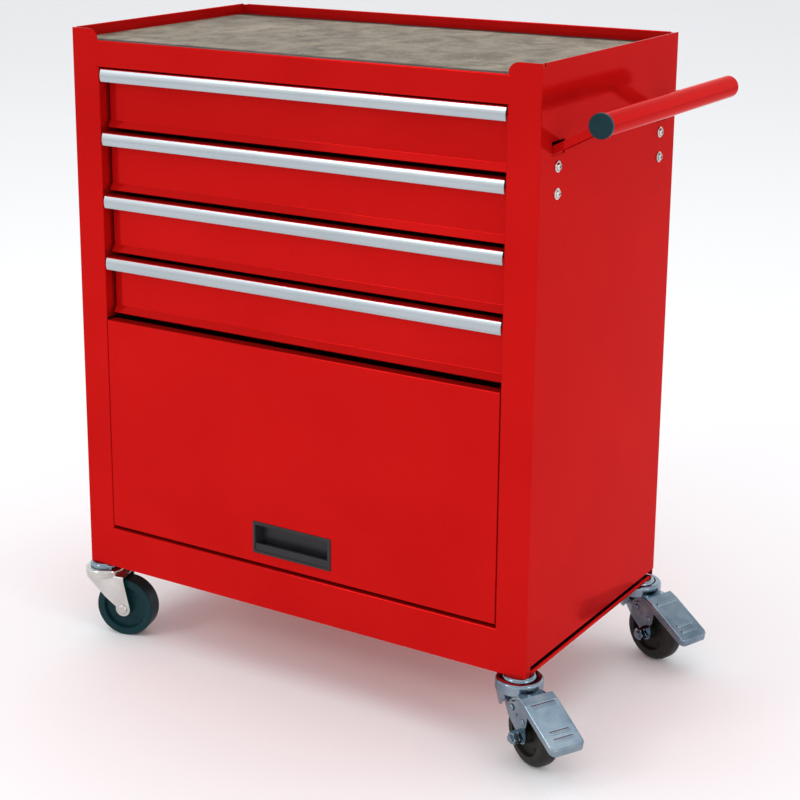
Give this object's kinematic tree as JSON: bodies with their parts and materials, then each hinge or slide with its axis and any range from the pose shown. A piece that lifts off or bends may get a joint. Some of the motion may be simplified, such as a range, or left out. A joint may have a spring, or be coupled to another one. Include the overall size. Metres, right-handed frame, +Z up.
{
  "type": "rolling tool box",
  "caption": "Rolling tool box: steel cabinet on swivel casters with ball-slide drawers, a tuck-under door, a matted top tray and a side push handle.",
  "frame": {"origin": "on the floor, under the middle of the whole outline seen from above, handle and brake pedals included", "axes": "+X to the cabinet's right where the push handle is, +Y from the front to the back, +Z up"},
  "size_m": [0.7106, 0.4066, 0.765],
  "materials": {
    "red_powder_coat": "gloss red powder coat on sheet steel",
    "pull_aluminium": "satin silver anodised extrusion",
    "zinc_plate": "bright zinc plating, slightly blue",
    "slide_zinc": "zinc-plated slide steel",
    "black_plastic": "semi-gloss moulded black plastic",
    "end_cap_plastic": "semi-gloss dark teal-black plastic",
    "wheel_black": "semi-gloss black moulded plastic",
    "mat": "matt grey-brown anti-slip mat",
    "liner": "matt black foam",
    "nylon": "natural nylon",
    "magnet_case": "matt dark plastic"
  },
  "bodies": {
    "cabinet": {"left_side_panel": "red_powder_coat", "right_side_panel": "red_powder_coat", "back_panel": "red_powder_coat", "top_panel": "red_powder_coat", "front_sill": "red_powder_coat", "base_tray": "red_powder_coat", "divider_shelf": "red_powder_coat", "rear_uprights": "red_powder_coat", "top_mat": "mat", "door_guides": "slide_zinc", "door_magnets": "magnet_case", "handle_arms": "red_powder_coat", "handle_tube": "red_powder_coat", "handle_end_caps": "end_cap_plastic", "handle_fixings": "zinc_plate", "caster_stems": "zinc_plate", "outer_rails": "slide_zinc"},
    "drawer_1": {"drawer_tray_1": "red_powder_coat", "drawer_front_1": "red_powder_coat", "drawer_pull_1": "pull_aluminium", "drawer_liner_1": "liner", "inner_rails_1": "slide_zinc"},
    "middle_members_1": {"middle_rails_1": "slide_zinc"},
    "drawer_2": {"drawer_tray_2": "red_powder_coat", "drawer_front_2": "red_powder_coat", "drawer_pull_2": "pull_aluminium", "drawer_liner_2": "liner", "inner_rails_2": "slide_zinc"},
    "middle_members_2": {"middle_rails_2": "slide_zinc"},
    "drawer_3": {"drawer_tray_3": "red_powder_coat", "drawer_front_3": "red_powder_coat", "drawer_pull_3": "pull_aluminium", "drawer_liner_3": "liner", "inner_rails_3": "slide_zinc"},
    "middle_members_3": {"middle_rails_3": "slide_zinc"},
    "drawer_4": {"drawer_tray_4": "red_powder_coat", "drawer_front_4": "red_powder_coat", "drawer_pull_4": "pull_aluminium", "drawer_liner_4": "liner", "inner_rails_4": "slide_zinc"},
    "middle_members_4": {"middle_rails_4": "slide_zinc"},
    "door_carriage": {"door_rod": "zinc_plate", "door_sliders": "nylon"},
    "door": {"door_panel": "red_powder_coat", "door_pull": "black_plastic"},
    "caster_front_left": {"caster_fork_front_left": "zinc_plate", "caster_axle_front_left": "zinc_plate"},
    "wheel_front_left": {"caster_wheel_front_left": "wheel_black"},
    "caster_front_right": {"caster_fork_front_right": "zinc_plate", "caster_axle_front_right": "zinc_plate"},
    "wheel_front_right": {"caster_wheel_front_right": "wheel_black"},
    "pedal_front_right": {"brake_pedal_front_right": "zinc_plate"},
    "caster_rear_left": {"caster_fork_rear_left": "zinc_plate", "caster_axle_rear_left": "zinc_plate"},
    "wheel_rear_left": {"caster_wheel_rear_left": "wheel_black"},
    "caster_rear_right": {"caster_fork_rear_right": "zinc_plate", "caster_axle_rear_right": "zinc_plate"},
    "wheel_rear_right": {"caster_wheel_rear_right": "wheel_black"},
    "pedal_rear_right": {"brake_pedal_rear_right": "zinc_plate"}
  },
  "joints": [
    {"name": "drawer_1_slide", "type": "slide", "parent": "cabinet", "child": "drawer_1", "axis": [0, -1, 0], "range_m": [0, 0.25]},
    {"name": "middle_members_1_slide", "type": "slide", "parent": "cabinet", "child": "middle_members_1", "axis": [0, -1, 0], "range_m": [0, 0.125]},
    {"name": "drawer_2_slide", "type": "slide", "parent": "cabinet", "child": "drawer_2", "axis": [0, -1, 0], "range_m": [0, 0.25]},
    {"name": "middle_members_2_slide", "type": "slide", "parent": "cabinet", "child": "middle_members_2", "axis": [0, -1, 0], "range_m": [0, 0.125]},
    {"name": "drawer_3_slide", "type": "slide", "parent": "cabinet", "child": "drawer_3", "axis": [0, -1, 0], "range_m": [0, 0.25]},
    {"name": "middle_members_3_slide", "type": "slide", "parent": "cabinet", "child": "middle_members_3", "axis": [0, -1, 0], "range_m": [0, 0.125]},
    {"name": "drawer_4_slide", "type": "slide", "parent": "cabinet", "child": "drawer_4", "axis": [0, -1, 0], "range_m": [0, 0.25]},
    {"name": "middle_members_4_slide", "type": "slide", "parent": "cabinet", "child": "middle_members_4", "axis": [0, -1, 0], "range_m": [0, 0.125]},
    {"name": "door_tuck_slide", "type": "slide", "parent": "cabinet", "child": "door_carriage", "axis": [0, 1, 0], "range_m": [0, 0.255]},
    {"name": "door_hinge", "type": "hinge", "parent": "door_carriage", "child": "door", "pos_m": [-0.03526, -0.14531, 0.406], "axis": [-1, 0, 0], "range_deg": [0, 90]},
    {"name": "swivel_front_left", "type": "hinge", "parent": "cabinet", "child": "caster_front_left", "pos_m": [-0.33026, -0.14131, 0.078], "axis": [0, 0, 1], "continuous": true},
    {"name": "wheel_front_left_spin", "type": "hinge", "parent": "caster_front_left", "child": "wheel_front_left", "pos_m": [-0.30129, -0.13355, 0.0375], "axis": [-0.2588, 0.9659, 0], "continuous": true},
    {"name": "swivel_front_right", "type": "hinge", "parent": "cabinet", "child": "caster_front_right", "pos_m": [0.25974, -0.14131, 0.078], "axis": [0, 0, 1], "continuous": true},
    {"name": "wheel_front_right_spin", "type": "hinge", "parent": "caster_front_right", "child": "wheel_front_right", "pos_m": [0.28623, -0.1554, 0.0375], "axis": [0.4695, 0.8829, 0], "continuous": true},
    {"name": "brake_front_right_pedal", "type": "hinge", "parent": "caster_front_right", "child": "pedal_front_right", "pos_m": [0.27386, -0.14882, 0.066], "axis": [-0.4695, -0.8829, 0], "range_deg": [0, 15]},
    {"name": "swivel_rear_left", "type": "hinge", "parent": "cabinet", "child": "caster_rear_left", "pos_m": [-0.33026, 0.17469, 0.078], "axis": [0, 0, 1], "continuous": true},
    {"name": "wheel_rear_left_spin", "type": "hinge", "parent": "caster_rear_left", "child": "wheel_rear_left", "pos_m": [-0.30129, 0.18245, 0.0375], "axis": [-0.2588, 0.9659, 0], "continuous": true},
    {"name": "swivel_rear_right", "type": "hinge", "parent": "cabinet", "child": "caster_rear_right", "pos_m": [0.25974, 0.17469, 0.078], "axis": [0, 0, 1], "continuous": true},
    {"name": "wheel_rear_right_spin", "type": "hinge", "parent": "caster_rear_right", "child": "wheel_rear_right", "pos_m": [0.28793, 0.16443, 0.0375], "axis": [0.342, 0.9397, 0], "continuous": true},
    {"name": "brake_rear_right_pedal", "type": "hinge", "parent": "caster_rear_right", "child": "pedal_rear_right", "pos_m": [0.27477, 0.16922, 0.066], "axis": [-0.342, -0.9397, 0], "range_deg": [0, 15]}
  ],
  "couplings": [
    {"joint": "middle_members_1_slide", "follows": "drawer_1_slide", "ratio": 0.5},
    {"joint": "middle_members_2_slide", "follows": "drawer_2_slide", "ratio": 0.5},
    {"joint": "middle_members_3_slide", "follows": "drawer_3_slide", "ratio": 0.5},
    {"joint": "middle_members_4_slide", "follows": "drawer_4_slide", "ratio": 0.5}
  ]
}
